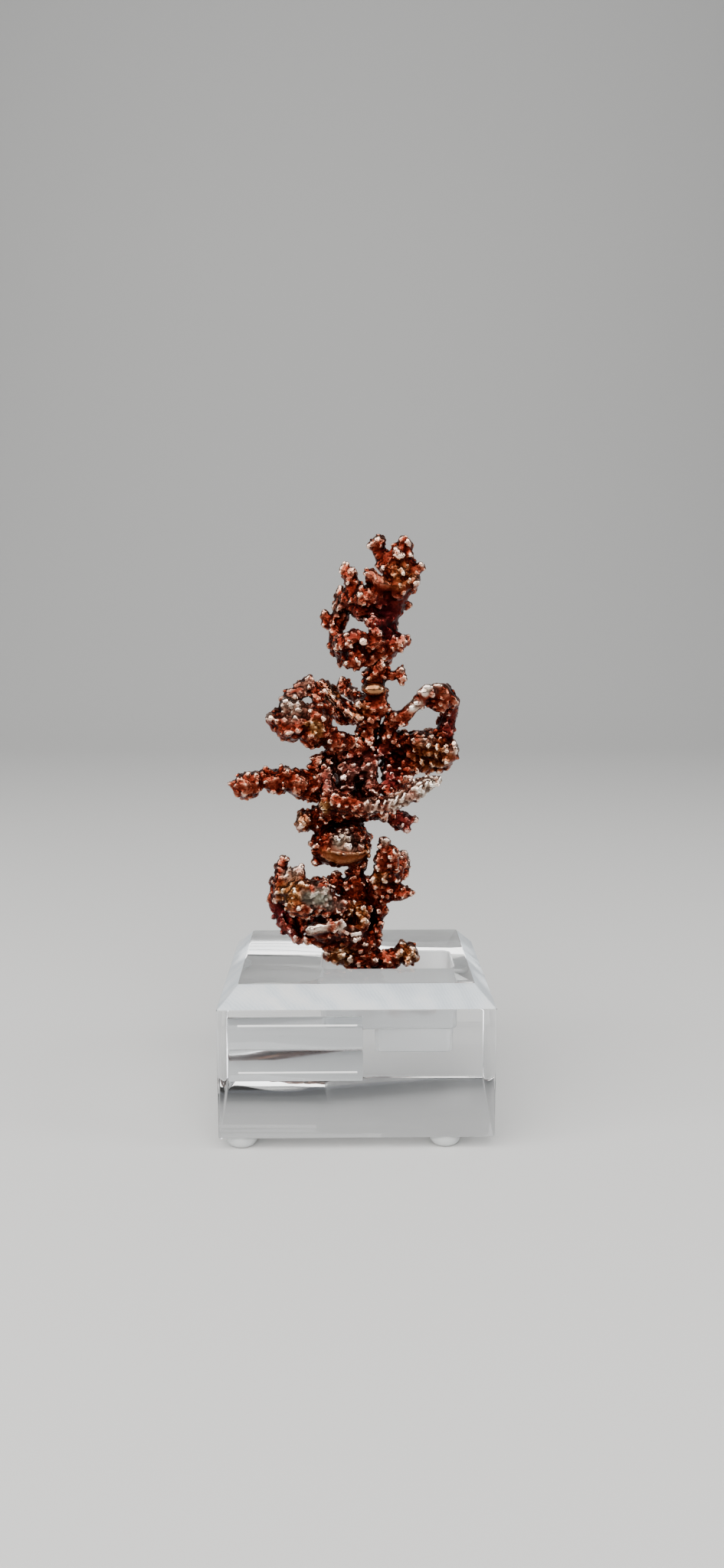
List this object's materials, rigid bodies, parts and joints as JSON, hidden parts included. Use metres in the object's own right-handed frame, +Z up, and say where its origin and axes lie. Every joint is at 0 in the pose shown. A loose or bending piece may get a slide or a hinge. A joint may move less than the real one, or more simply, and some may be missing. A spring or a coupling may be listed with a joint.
{
  "type": "native copper specimen on display block",
  "caption": "Tree-like native copper with its foot set in the frosted pocket of a clear acrylic block with bevelled top edges, a clear label film and domed feet.",
  "frame": {"origin": "centre of the whole part's footprint, at the level that the feet stand on", "axes": "+Z up the copper, +Y to the back, +X to the right as seen from the label's side"},
  "size_m": [0.05, 0.0402, 0.1106],
  "materials": {
    "clear_acrylic": "clear polished acrylic, frosted inside the milled pocket and satin on the cut bevels",
    "label_film": "clear tape with fine white rules",
    "clear_bumper": "clear soft polyurethane, slightly milky",
    "native_copper": "bright natural copper with red-brown hollows, paler worn knobs and a little grey-green tarnish"
  },
  "bodies": {
    "root": {"display_block": "clear_acrylic", "label_upper_strip": "label_film", "label_lower_strip": "label_film", "foot_front_left": "clear_bumper", "foot_front_right": "clear_bumper", "foot_rear_left": "clear_bumper", "foot_rear_right": "clear_bumper", "copper_foot": "native_copper", "copper_lower_trunk": "native_copper", "copper_lower_left_cluster": "native_copper", "copper_lower_right_spray": "native_copper", "copper_middle_trunk": "native_copper", "copper_right_blade": "native_copper", "copper_left_finger": "native_copper", "copper_left_upper_arm": "native_copper", "copper_left_upper_finger": "native_copper", "copper_right_loop_arm": "native_copper", "copper_neck": "native_copper", "copper_crown": "native_copper"}
  },
  "joints": []
}
